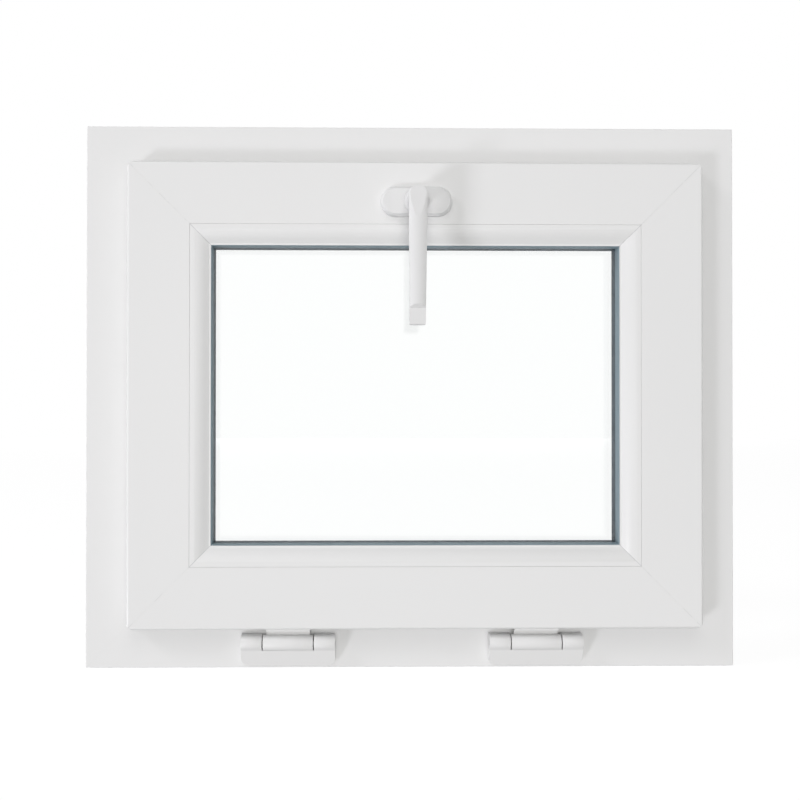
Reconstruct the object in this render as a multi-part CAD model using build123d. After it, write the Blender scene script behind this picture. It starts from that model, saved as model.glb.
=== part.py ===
from build123d import *
from math import asin, atan2, cos, radians, sin, tan
import os

os.makedirs("parts", exist_ok=True)

# Bottom-hung window that tilts inwards, in millimetres.
# +X runs right and -Y points into the room. The origin is on the underside of the sill.
# Sections are drawn with x inwards from the outer edge of their ring and y as the depth.

# Fixed frame
window_width = 600.0
window_height = 500.0
frame_depth = 60.0
lip_height = 45.5            # room side of the rebate
floor_fall = 4.0             # the rebate floor drains outwards by this much
level_floor = 18.0           # room side of the rebate floor, before it falls
stop_height = 65.5           # outer side of the rebate
stop_thickness = 16.0
stop_slope = 5.0
stop_seal_width = 4.5
stop_seal_tip = 2.0
stop_seal_setback = 1.0      # from the edge of the stop
outer_edge_radius = 0.8
lip_radius = 1.5
frame_corner_clip = 0.8      # weld cleaned off the outer corners
anchor_groove_width = 8.0
anchor_groove_depth = 4.0
anchor_groove_spacing = 26.0

# Walls of the hollow profiles
outer_wall = 2.8
web = 1.6
bead_wall = 2.0

# Sash
sash_margin = 37.0           # frame face left showing round a centred sash
sash_shift_x = 3.7           # hung a little off the middle of the frame
sash_shift_z = 1.4
sash_depth = 60.0
sash_proud = 20.0            # stands into the room by this much
flange_width = 20.0
flange_gap = 5.0             # from the flange to the frame, filled by the seal
flange_seal_width = 3.0
flange_seal_tip = 2.0
flange_seal_setback = 1.0    # from the edge of the flange
face_width = 56.9            # from the sash edge to the bead line
flange_radius = 2.2
sash_corner_clip = 4.6
lip_thickness = 14.0         # outer lip that the glass rests against
glass_lip_height = 16.8
glass_lip_slope = 7.0
glass_lip_flat = 4.7
stop_seal_gap = 0.3          # seals end this short of the face that they meet

# Glazing
pane_thickness = 4.0
cavity = 16.0
seal_thickness = 3.0
glass_seal_setback = 1.0     # from the edge of the glass
glass_seal_lip = 1.2         # past the outer lip of the sash
glass_edge_gap = 6.0
bead_width = 20.0            # with the seal up its side
bead_line = 0.15
bead_flat = 4.5
bead_curve_radius = 20.0
bead_slope = 30.0            # degrees, where the curve ends
bead_nose = 1.5              # flat edge beside the glass
bead_side_seal = 1.0         # lip of the seal up the side of the bead
bead_side_seal_drop = 0.6    # that it stays below the nose
bead_heel = 3.0              # bevel that leaves room for the lip of the seal
bead_heel_depth = 1.5
bead_foot = 3.6
bead_foot_play = 0.3
bead_foot_thickness = 2.8
bead_foot_depth = 4.5
spacer_setback = 0.4         # the spacer lies this far behind the edge of the bead
spacer_height = 7.5
block_length = 100.0
cut_allowance = 1.0          # a cut runs this far past the face that it opens

# Gear on the top edge of the sash
faceplate_width = 16.0
faceplate_thickness = 2.6
faceplate_clearance = 0.15
faceplate_end_gap = 24.0
gear_axis = 13.0             # from the back of the flange
gear_groove_width = 12.0
gear_groove_depth = 8.0
cam_diameter = 10.0
cam_height = 4.0
cam_end_gap = 69.0           # from the end of the faceplate
keep_length = 62.0
keep_width = 17.0
keep_thickness = 2.4
keep_corner_radius = 3.0
keep_dish_length = 26.0
keep_dish_width = 13.0
keep_dish_depth = 1.0
cam_shank_diameter = 7.0
cam_shank_height = 1.4

# Handle
handle_drop = 36.9           # from the top edge of the sash to the turning axis
rosette_length = 65.0
rosette_height = 26.8
rosette_thickness = 8.0
rosette_bevel = 2.2
collar_diameter = 16.0
running_fit = 0.05
neck_gap = 0.4
neck_diameter = 22.8
neck_flare = 2.5             # the neck spreads by this much at its foot
neck_flare_height = 4.0
head_diameter = 17.4
lever_stand = 45.0           # front of the lever from the sash face
lever_thickness = 11.0
lever_end_thickness = 9.0
lever_width = 16.4
lever_end_width = 14.2
lever_length = 114.5
lever_end_drop = 0.8
lever_end_shift = -0.5       # the lever hangs a hair off plumb
lever_crown = 2.6
lever_back_bevel = 2.0
head_dome_radius = 5.4
head_dome_drop = 1.0
head_facet_length = 21.0     # flat ground on the head, below the turning axis
tip_facet_length = 19.5
tip_facet_step = 4.5         # over which it drops through the crown
tip_bevel = 0.8
spindle_width = 7.0
spindle_length = 26.0
spindle_bore = 12.0

# Hinges
hinge_spacing = 227.5
hinge_shift_x = 0.7
hinge_axis_height = 24.2
hinge_axis_stand = 9.0       # from the room face of the frame
hinge_length = 86.0
knuckle_diameter = 15.2
knuckle_length = 45.6
knuckle_slit = 1.0
knuckle_clearance = 0.2
leaf_bottom = 2.8
leaf_toe = 4.5
leaf_corner_radius = 6.5
leaf_edge_radius = 1.0
pin_diameter = 6.0
neck_length = 40.0
neck_setback = 1.6           # its front lies this far behind the axis
neck_thickness = 2.4
hinge_plate_thickness = 3.0
hinge_plate_setback = 5.5    # from the face of the sash
hinge_plate_back = 1.2       # from the back of its flange

# Drain caps on the outside of the sill
drain_cap_length = 42.0
drain_cap_height = 13.0
drain_cap_thickness = 5.0
drain_cap_spacing = 360.0
drain_cap_level = 26.0
drain_slot_length = 28.0
drain_slot_width = 4.0

room_face = -frame_depth / 2
outer_face = frame_depth / 2
stop_face = outer_face - stop_thickness
sash_face = room_face - sash_proud
sash_back = sash_face + sash_depth
flange_back = room_face - flange_gap
lip_face = sash_back - lip_thickness
glass_back = lip_face - seal_thickness
glass_depth = 2 * pane_thickness + cavity
glass_face = glass_back - glass_depth
bead_back = glass_face - seal_thickness
bead_side = bead_width - bead_side_seal
gear_axis_y = flange_back + gear_axis


class Ring:
    """Rectangle in the plane of the window, which a section runs round."""

    def __init__(self, width, height, x, z, clip=0):
        self.width = width
        self.height = height
        self.x = x
        self.z = z
        self.clip = clip

    def inset(self, distance):
        return Ring(self.width - 2 * distance, self.height - 2 * distance, self.x, self.z)

    def half(self, side):
        """Distance from the middle to a side."""
        return (self.height if side in ("top", "bottom") else self.width) / 2

    def bar(self, section, side):
        """One length of the section along a side, mitred at both ends."""
        inwards = {
            "bottom": Vector(0, 0, 1),
            "top": Vector(0, 0, -1),
            "left": Vector(1, 0, 0),
            "right": Vector(-1, 0, 0),
        }[side]
        edge = Vector(self.x, 0, self.z) - inwards * self.half(side)
        place = Plane(origin=edge, x_dir=inwards, z_dir=inwards.cross(Vector(0, 1, 0)))
        half_length = (self.width if side in ("top", "bottom") else self.height) / 2
        reach = min(self.width, self.height) / 2 - cut_allowance
        along = place.z_dir
        corners = [
            edge + along * (half_length - self.clip),
            edge - along * (half_length - self.clip),
            edge - along * (half_length - self.clip / 2) + inwards * (self.clip / 2),
            edge - along * (half_length - reach) + inwards * reach,
            edge + along * (half_length - reach) + inwards * reach,
            edge + along * (half_length - self.clip / 2) + inwards * (self.clip / 2),
        ]
        if self.clip == 0:
            corners = corners[:2] + corners[3:5]
        room = 4 * frame_depth
        mitre = extrude(make_face(Polyline(*corners, close=True)), amount=room, dir=(0, 1, 0), both=True)
        return extrude(place * section, amount=half_length, both=True) & mitre

    def loop(self, section):
        """The section all the way round, as one piece."""
        whole = self.bar(section, "bottom")
        for side in ("right", "top", "left"):
            whole = whole + self.bar(section, side)
        return whole


def outline(*points):
    return make_face(Polyline(*points, close=True))


def rounded(section, point, radius):
    """The section with one corner rounded."""
    corner = section.vertices().sort_by_distance(Vector(*point))[0]
    return fillet(corner, radius)


def chamber(x_low, x_high, y_low, y_high):
    """One hollow of a profile."""
    return Pos((x_low + x_high) / 2, (y_low + y_high) / 2) * Rectangle(x_high - x_low, y_high - y_low)


def box(x_low, x_high, y_low, y_high, z_low, z_high):
    size = (x_high - x_low, y_high - y_low, z_high - z_low)
    middle = ((x_high + x_low) / 2, (y_high + y_low) / 2, (z_high + z_low) / 2)
    return Pos(*middle) * Box(*size)


def frame_section():
    section = outline(
        (0, room_face),
        (lip_height, room_face),
        (lip_height, room_face + level_floor),
        (lip_height - floor_fall, stop_face),
        (stop_height, stop_face),
        (stop_height, outer_face - stop_slope),
        (stop_height - stop_slope, outer_face),
        (0, outer_face),
    )
    groove_middle = anchor_groove_spacing / 2
    for side in (-1, 1):
        groove = Rectangle(2 * anchor_groove_depth, anchor_groove_width)
        section = section - Pos(0, side * groove_middle) * groove
    groove_near = groove_middle - anchor_groove_width / 2
    groove_far = groove_middle + anchor_groove_width / 2
    floor = lip_height - floor_fall - outer_wall
    behind_groove = anchor_groove_depth + web
    section = section - chamber(
        outer_wall, lip_height - outer_wall, room_face + outer_wall, -groove_far - web
    )
    section = section - chamber(behind_groove, floor, -groove_far, groove_near - web)
    section = section - chamber(behind_groove, floor, groove_near, outer_face - outer_wall)
    section = section - chamber(
        floor + web, stop_height - stop_slope - outer_wall, stop_face + outer_wall, outer_face - outer_wall
    )
    section = rounded(section, (0, room_face), outer_edge_radius)
    return rounded(section, (lip_height, room_face), lip_radius)


def sash_section():
    section = outline(
        (0, sash_face),
        (face_width, sash_face),
        (face_width, lip_face),
        (face_width + glass_lip_height, lip_face),
        (face_width + glass_lip_height, lip_face + glass_lip_flat),
        (face_width + glass_lip_height - glass_lip_slope, sash_back),
        (flange_width, sash_back),
        (flange_width, flange_back),
        (0, flange_back),
    )
    groove_depth = bead_foot + bead_foot_play
    foot_groove = Rectangle(2 * groove_depth, bead_foot_thickness + bead_foot_play)
    section = section - Pos(face_width, sash_face + bead_foot_depth + bead_foot_thickness / 2) * foot_groove
    plate_depth = faceplate_thickness + faceplate_clearance
    plate_seat = Rectangle(2 * plate_depth, faceplate_width + 2 * faceplate_clearance)
    gear_room = Rectangle(2 * (plate_depth + gear_groove_depth), gear_groove_width)
    section = section - Pos(flange_width, gear_axis_y) * plate_seat
    section = section - Pos(flange_width, gear_axis_y) * gear_room
    behind_gear = flange_width + plate_depth + gear_groove_depth + web
    front_web = flange_back - outer_wall
    back_web = lip_face + outer_wall - web
    section = section - chamber(
        outer_wall, face_width - groove_depth - web, sash_face + outer_wall, front_web
    )
    section = section - chamber(behind_gear, face_width - outer_wall, front_web + web, back_web)
    section = section - chamber(
        flange_width + outer_wall,
        face_width + glass_lip_height - glass_lip_slope - outer_wall,
        back_web + web,
        sash_back - outer_wall,
    )
    return rounded(section, (0, sash_face), flange_radius)


def bead_nose_depth():
    """How far below the sash face the curve and the slope bring the nose."""
    lean = radians(bead_slope)
    slope_run = bead_side - bead_nose - bead_flat - bead_curve_radius * sin(lean)
    return bead_curve_radius * (1 - cos(lean)) + slope_run * tan(lean)


def bead_section():
    """Drawn from the glass rebate: a flat, a curve, a slope, a nose by the glass, and a snap-in foot."""
    lean = radians(bead_slope)
    nose_level = sash_face + bead_nose_depth()
    start = (bead_flat, sash_face)
    curve_end = (bead_flat + bead_curve_radius * sin(lean), sash_face + bead_curve_radius * (1 - cos(lean)))
    foot_top = sash_face + bead_foot_depth
    foot_base = foot_top + bead_foot_thickness
    edges = [
        Line((bead_line, sash_face), start),
        TangentArc(start, curve_end, tangent=(1, 0)),
        Polyline(
            curve_end,
            (bead_side - bead_nose, nose_level),
            (bead_side, nose_level),
            (bead_side, bead_back - bead_heel_depth),
            (bead_side - bead_heel, bead_back),
            (0, bead_back),
            (0, foot_base),
            (-bead_foot, foot_base),
            (-bead_foot, foot_top),
            (bead_line, foot_top),
            (bead_line, sash_face),
        ),
    ]
    hollow = outline(
        (bead_wall, foot_base + bead_wall),
        (bead_flat, foot_top),
        (bead_flat + bead_wall, foot_top),
        (bead_side - bead_wall, nose_level + bead_wall),
        (bead_side - bead_wall, bead_back - bead_wall - bead_heel_depth),
        (bead_side - bead_wall - bead_heel, bead_back - bead_wall),
        (bead_wall, bead_back - bead_wall),
    )
    return make_face(edges) - hollow


def make_frame(pieces, frame):
    names = {"top": "frame_head", "bottom": "frame_sill", "left": "frame_jamb_left", "right": "frame_jamb_right"}
    section = frame_section()
    for side, name in names.items():
        pieces[name] = frame.bar(section, side)
    seal_tip = sash_back + stop_seal_gap
    seal_middle = stop_height - stop_seal_setback - stop_seal_width / 2
    seal = outline(
        (seal_middle - stop_seal_width / 2, stop_face),
        (seal_middle + stop_seal_width / 2, stop_face),
        (seal_middle + stop_seal_tip / 2, seal_tip),
        (seal_middle - stop_seal_tip / 2, seal_tip),
    )
    pieces["frame_seal"] = frame.loop(seal)
    for index, side in enumerate((-1, 1)):
        cap = Pos(side * drain_cap_spacing / 2, outer_face, drain_cap_level) * Rot(90, 0, 0)
        body = extrude(SlotOverall(drain_cap_length, drain_cap_height), amount=-drain_cap_thickness, taper=25)
        pieces[f"drain_cap_{('left', 'right')[index]}"] = cap * body
        floor_slot = box(
            side * drain_cap_spacing / 2 - drain_slot_length / 2,
            side * drain_cap_spacing / 2 + drain_slot_length / 2,
            stop_face - drain_slot_width,
            stop_face,
            lip_height - floor_fall - outer_wall - cut_allowance,
            lip_height,
        )
        wall_slot = box(
            side * drain_cap_spacing / 2 - drain_slot_length / 2,
            side * drain_cap_spacing / 2 + drain_slot_length / 2,
            outer_face - outer_wall - cut_allowance,
            outer_face,
            drain_cap_level - drain_slot_width / 2,
            drain_cap_level + drain_slot_width / 2,
        )
        pieces["frame_sill"] = pieces["frame_sill"] - floor_slot - wall_slot


def make_sash(pieces, sash):
    names = {
        "top": "sash_top_rail",
        "bottom": "sash_bottom_rail",
        "left": "sash_stile_left",
        "right": "sash_stile_right",
    }
    section = sash_section()
    for side, name in names.items():
        pieces[name] = sash.bar(section, side)
    handle_z = sash.z + sash.height / 2 - handle_drop
    bore_length = spindle_length + cut_allowance
    bore = Pos(sash.x, sash_face + bore_length / 2, handle_z) * Rot(90, 0, 0) * Cylinder(spindle_bore / 2, bore_length)
    pieces["sash_top_rail"] = pieces["sash_top_rail"] - bore
    seal_middle = flange_seal_setback + flange_seal_width / 2
    seal_tip = room_face - stop_seal_gap
    seal = outline(
        (seal_middle - flange_seal_width / 2, flange_back),
        (seal_middle + flange_seal_width / 2, flange_back),
        (seal_middle + flange_seal_tip / 2, seal_tip),
        (seal_middle - flange_seal_tip / 2, seal_tip),
    )
    pieces["sash_seal"] = sash.loop(seal)


def make_glazing(pieces, sash):
    rebate = sash.inset(face_width)
    for side in ("top", "bottom", "left", "right"):
        pieces[f"bead_{side}"] = rebate.bar(bead_section(), side)
    seal_heel = glass_edge_gap + glass_seal_setback
    lip_level = sash_face + bead_nose_depth() + bead_side_seal_drop
    inner_seal = outline(
        (seal_heel, bead_back),
        (bead_side - bead_heel, bead_back),
        (bead_side, bead_back - bead_heel_depth),
        (bead_side, lip_level),
        (bead_width, lip_level),
        (bead_width, glass_face),
        (seal_heel, glass_face),
    )
    outer_seal = outline(
        (seal_heel, glass_back),
        (glass_lip_height + glass_seal_lip, glass_back),
        (glass_lip_height, lip_face),
        (seal_heel, lip_face),
    )
    pieces["glazing_seal_inner"] = rebate.loop(inner_seal)
    pieces["glazing_seal_outer"] = rebate.loop(outer_seal)

    glass = rebate.inset(glass_edge_gap)
    left, right = glass.x - glass.width / 2, glass.x + glass.width / 2
    low, high = glass.z - glass.height / 2, glass.z + glass.height / 2
    pieces["pane_inner"] = box(left, right, glass_face, glass_face + pane_thickness, low, high)
    pieces["pane_outer"] = box(left, right, glass_back - pane_thickness, glass_back, low, high)
    spacer_top = bead_width - spacer_setback - glass_edge_gap
    cavity_face = glass_face + pane_thickness
    cavity_back = glass_back - pane_thickness
    spacer = outline(
        (spacer_top - spacer_height, cavity_face),
        (spacer_top, cavity_face),
        (spacer_top, cavity_back),
        (spacer_top - spacer_height, cavity_back),
    )
    sealant = outline(
        (0, cavity_face),
        (spacer_top - spacer_height, cavity_face),
        (spacer_top - spacer_height, cavity_back),
        (0, cavity_back),
    )
    pieces["spacer_bar"] = glass.loop(spacer)
    pieces["edge_sealant"] = glass.loop(sealant)
    blocks = []
    for side in (-1, 1):
        middle = glass.x + side * glass.width / 4
        block = box(
            middle - block_length / 2, middle + block_length / 2,
            glass_face, glass_back, low - glass_edge_gap, low,
        )
        blocks.append(block)
    pieces["setting_blocks"] = blocks[0] + blocks[1]


def make_gear(pieces, sash, frame):
    edge = sash.z + sash.height / 2 - flange_width
    plate_top = edge - faceplate_clearance
    plate_half = sash.width / 2 - flange_width - faceplate_end_gap
    middle = Pos(sash.x, gear_axis_y, plate_top - faceplate_thickness)
    pieces["gear_faceplate"] = middle * extrude(SlotOverall(2 * plate_half, faceplate_width), faceplate_thickness)
    ceiling = frame.z + frame.height / 2 - lip_height
    for side, word in ((-1, "left"), (1, "right")):
        x = sash.x + side * (plate_half - cam_end_gap)
        pieces[f"locking_cam_{word}"] = Pos(x, gear_axis_y, plate_top) * locking_cam()
        keep = extrude(RectangleRounded(keep_length, keep_width, keep_corner_radius), keep_thickness)
        dish = extrude(SlotOverall(keep_dish_length, keep_dish_width), keep_dish_depth)
        place = Pos(x, room_face + keep_width / 2, ceiling - keep_thickness)
        pieces[f"keep_{word}"] = place * (keep - dish)


def locking_cam():
    """Mushroom head on a shank."""
    head = cam_diameter / 2
    shank = cam_shank_diameter / 2
    half_section = outline(
        (0, 0),
        (shank, 0),
        (shank, cam_shank_height),
        (head, cam_shank_height),
        (head, cam_height),
        (0, cam_height),
    )
    return revolve(Plane.XZ * half_section, Axis.Z)


def lever_section(width, thickness):
    """Drawn down from the front of the bar: a crowned front and a bevelled back."""
    half = width / 2
    edges = [
        ThreePointArc((-half, -lever_crown), (0, 0), (half, -lever_crown)),
        Polyline((half, -lever_crown), (half, -thickness), (-half, -thickness), (-half, -lever_crown)),
    ]
    section = make_face(edges)
    return chamfer(section.vertices().group_by(Axis.Y)[0], lever_back_bevel)


def facet_cut(*floor):
    """What is ground off the front of the lever, down to a line of (place along the lever, height)."""
    above = lever_stand + lever_crown
    ground = outline(*floor, (floor[-1][0], above), (floor[0][0], above))
    along_lever = Plane((0, 0, 0), x_dir=(0, 1, 0), z_dir=(1, 0, 0))
    return extrude(along_lever * ground, amount=neck_diameter, both=True)


def make_handle(pieces, sash):
    x = sash.x
    z = sash.z + sash.height / 2 - handle_drop
    place = Pos(x, sash_face, z) * Rot(90, 0, 0)
    plate = extrude(SlotOverall(rosette_length, rosette_height), amount=rosette_thickness)
    plate = chamfer(plate.edges().group_by(Axis.Z)[-1], rosette_bevel)
    bore = Cylinder(collar_diameter / 2 + running_fit, 3 * rosette_thickness)
    pieces["handle_rosette"] = place * (plate - bore)

    neck_base = rosette_thickness + neck_gap
    shoulder = lever_stand - lever_crown
    head_radius = head_diameter / 2
    head_profile = outline(
        (0, neck_base),
        (neck_diameter / 2, neck_base),
        (neck_diameter / 2 - neck_flare, neck_base + neck_flare_height),
        (head_radius, shoulder),
        (head_dome_radius, lever_stand - head_dome_drop),
        (0, lever_stand),
    )
    head = revolve(Plane.XZ * head_profile, Axis.Z)
    top = Plane((0, 0, lever_stand), x_dir=(1, 0, 0), z_dir=(0, -1, 0))
    tip = (lever_end_shift, -lever_length, lever_stand - lever_end_drop)
    end = Plane(tip, x_dir=(1, 0, 0), z_dir=(0, -1, 0))
    bar = loft([
        top * lever_section(lever_width, lever_thickness),
        end * lever_section(lever_end_width, lever_end_thickness),
    ])
    lever = bar + head
    lever = lever - facet_cut((-head_facet_length, lever_stand), (head_radius, shoulder))
    step = tip_facet_length - lever_length
    lever = lever - facet_cut(
        (-lever_length - cut_allowance, shoulder - lever_end_drop),
        (step - tip_facet_step, shoulder - lever_end_drop),
        (step, lever_stand),
    )
    lever = chamfer(lever.edges().group_by(Axis.Y)[0], tip_bevel)
    collar = extrude(Circle(collar_diameter / 2), amount=neck_base)
    pieces["handle_lever"] = place * (lever + collar)
    spindle = extrude(Rectangle(spindle_width, spindle_width), amount=-spindle_length)
    pieces["handle_spindle"] = place * spindle


def hinge_axis_point(x):
    return Pos(x, room_face - hinge_axis_stand, hinge_axis_height)


def make_hinge(pieces, word, x, sash):
    """Surface-mounted hinge: a leaf with two knuckles on the frame, and one knuckle under the sash."""
    barrel = knuckle_diameter / 2
    across = Rot(0, 90, 0)
    axis_y = room_face - hinge_axis_stand
    profile = Plane((x - hinge_length / 2, 0, 0), x_dir=(0, 1, 0), z_dir=(1, 0, 0))
    toe = Vector(room_face - leaf_toe, leaf_bottom)
    to_axis = Vector(axis_y, hinge_axis_height) - toe
    lean = asin(barrel / to_axis.length) + atan2(-to_axis.X, to_axis.Y)
    cover = outline(
        (axis_y - barrel * cos(lean), hinge_axis_height - barrel * sin(lean)),
        (toe.X, toe.Y),
        (room_face, leaf_bottom),
        (room_face, hinge_axis_height + barrel),
        (axis_y, hinge_axis_height + barrel),
        (axis_y, hinge_axis_height),
    )
    leaf = extrude(profile * cover, amount=hinge_length)
    leaf = leaf + hinge_axis_point(x) * across * Cylinder(barrel, hinge_length)
    top = hinge_axis_height + barrel
    front = Pos(x, 0, (top + leaf_bottom) / 2) * make_face(
        Plane.XZ * Polyline(
            (-hinge_length / 2, top - leaf_bottom),
            (-hinge_length / 2, (leaf_bottom - top) / 2),
            (hinge_length / 2, (leaf_bottom - top) / 2),
            (hinge_length / 2, top - leaf_bottom),
            close=True,
        )
    )
    front = fillet(front.vertices().group_by(Axis.Z)[0], leaf_corner_radius)
    leaf = leaf & extrude(front, amount=4 * frame_depth, both=True)
    gap_length = knuckle_length + 2 * knuckle_slit
    gap = hinge_axis_point(x) * across * Cylinder(barrel + knuckle_clearance, gap_length)
    above = box(
        x - gap_length / 2, x + gap_length / 2,
        axis_y - 2 * barrel, room_face + cut_allowance, hinge_axis_height, hinge_axis_height + 2 * barrel,
    )
    pin_hole = hinge_axis_point(x) * across * Cylinder(pin_diameter / 2, hinge_length + cut_allowance)
    pieces[f"hinge_{word}_frame_leaf"] = leaf - gap - above - pin_hole
    pieces[f"hinge_{word}_pin"] = hinge_axis_point(x) * across * Cylinder(pin_diameter / 2, hinge_length)

    underside = sash.z - sash.height / 2
    knuckle = hinge_axis_point(x) * across * Cylinder(barrel, knuckle_length)
    plate = box(
        x - neck_length / 2, x + neck_length / 2,
        sash_face + hinge_plate_setback, flange_back - hinge_plate_back,
        underside - hinge_plate_thickness, underside,
    )
    neck = box(
        x - neck_length / 2, x + neck_length / 2,
        axis_y + neck_setback, axis_y + neck_setback + neck_thickness,
        hinge_axis_height, underside - hinge_plate_thickness,
    )
    bore = hinge_axis_point(x) * across * Cylinder(pin_diameter / 2 + running_fit, hinge_length)
    pieces[f"hinge_{word}_sash_leaf"] = knuckle + plate + neck - bore


def make_window():
    pieces = {}
    frame = Ring(window_width, window_height, 0, window_height / 2, frame_corner_clip)
    sash = Ring(
        window_width - 2 * sash_margin,
        window_height - 2 * sash_margin,
        sash_shift_x,
        window_height / 2 + sash_shift_z,
        sash_corner_clip,
    )
    make_frame(pieces, frame)
    make_sash(pieces, sash)
    make_glazing(pieces, sash)
    make_gear(pieces, sash, frame)
    make_handle(pieces, sash)
    for side, word in ((-1, "left"), (1, "right")):
        make_hinge(pieces, word, hinge_shift_x + side * hinge_spacing / 2, sash)
    return pieces


for name, shape in make_window().items():
    export_step(shape, f"parts/{name}.step")
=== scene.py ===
"""White bottom-hung window with a double-glazed sash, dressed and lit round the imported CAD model."""

import sys

import logging
import math
from collections.abc import Mapping, Sequence
from dataclasses import dataclass
from enum import Enum

import bmesh
import bpy
from mathutils import Matrix, Vector


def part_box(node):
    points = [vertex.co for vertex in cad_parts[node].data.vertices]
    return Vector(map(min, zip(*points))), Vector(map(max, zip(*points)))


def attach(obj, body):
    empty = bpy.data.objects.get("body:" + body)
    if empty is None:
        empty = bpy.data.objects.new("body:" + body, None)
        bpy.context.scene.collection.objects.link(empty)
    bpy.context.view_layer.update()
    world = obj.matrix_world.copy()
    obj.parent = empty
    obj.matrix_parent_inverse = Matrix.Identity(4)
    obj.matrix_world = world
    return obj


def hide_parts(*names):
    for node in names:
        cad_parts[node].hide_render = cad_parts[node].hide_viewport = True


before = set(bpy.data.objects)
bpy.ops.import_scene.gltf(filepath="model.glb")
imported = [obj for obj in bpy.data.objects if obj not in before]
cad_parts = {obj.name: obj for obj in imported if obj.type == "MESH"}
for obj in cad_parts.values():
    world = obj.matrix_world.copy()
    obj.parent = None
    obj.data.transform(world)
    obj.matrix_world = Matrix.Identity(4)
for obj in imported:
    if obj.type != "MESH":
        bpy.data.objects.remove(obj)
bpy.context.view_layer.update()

LOG = logging.getLogger("window")
MM = 0.001
WHITE = (1.0, 1.0, 1.0)
BACKGROUND_RAYS = ("Is Camera Ray", "Is Glossy Ray", "Is Transmission Ray")
LIT_RAYS = ("Is Shadow Ray", "Is Diffuse Ray")
JOIN = 0.001 * MM
CORNER_ANGLE = math.radians(20)
SMOOTH_ANGLE = math.radians(38)
Colour = tuple[float, float, float]
Place = tuple[float, float, float]
Outline = list[tuple[float, float]]


# Shader graphs


class Val:
    """A socket that takes part in Python arithmetic, each operator adding a Math node."""

    def __init__(self, graph: "Graph", socket: bpy.types.NodeSocket) -> None:
        """Wraps a socket.

        Args:
            graph: Graph that new nodes go into.
            socket: Output that carries the value.
        """
        self.graph = graph
        self.socket = socket

    def math(self, operation: str, *others: "Val | float", swap: bool = False) -> "Val":
        """Adds one Math node.

        Args:
            operation: Name of the Math node's operation.
            others: Further operands.
            swap: True puts this value after the first other operand.

        Returns:
            The node's result.
        """
        operands = [self, *others]
        if swap:
            operands[0], operands[1] = operands[1], operands[0]
        node = self.graph.node("ShaderNodeMath", {"operation": operation}, dict(enumerate(operands)))
        return Val(self.graph, node.outputs[0])

    def __add__(self, other: "Val | float") -> "Val":
        """Sum."""
        return self.math("ADD", other)

    __radd__ = __add__

    def __sub__(self, other: "Val | float") -> "Val":
        """Difference."""
        return self.math("SUBTRACT", other)

    def __rsub__(self, other: "Val | float") -> "Val":
        """Difference from the other side."""
        return self.math("SUBTRACT", other, swap=True)

    def __mul__(self, other: "Val | float") -> "Val":
        """Product."""
        return self.math("MULTIPLY", other)

    __rmul__ = __mul__

    def __truediv__(self, other: "Val | float") -> "Val":
        """Quotient."""
        return self.math("DIVIDE", other)

    def __abs__(self) -> "Val":
        """Size without its sign."""
        return self.math("ABSOLUTE")

    def clamped(self) -> "Val":
        """Value kept between 0 and 1."""
        return self.math("MAXIMUM", 0.0).math("MINIMUM", 1.0)

    def swing(self, size: float) -> "Val":
        """Noise of 0 to 1 turned to one about 0, of the given size from end to end."""
        return (self - 0.5) * size

    def near(self, target: float, reach: float) -> "Val":
        """Mask that is 1 at the target and falls to 0 at the reach.

        Args:
            target: Value where the mask is 1.
            reach: Distance over which it fades.

        Returns:
            The mask.
        """
        return (1 - abs(self - target) / reach).math("MAXIMUM", 0.0)


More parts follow.
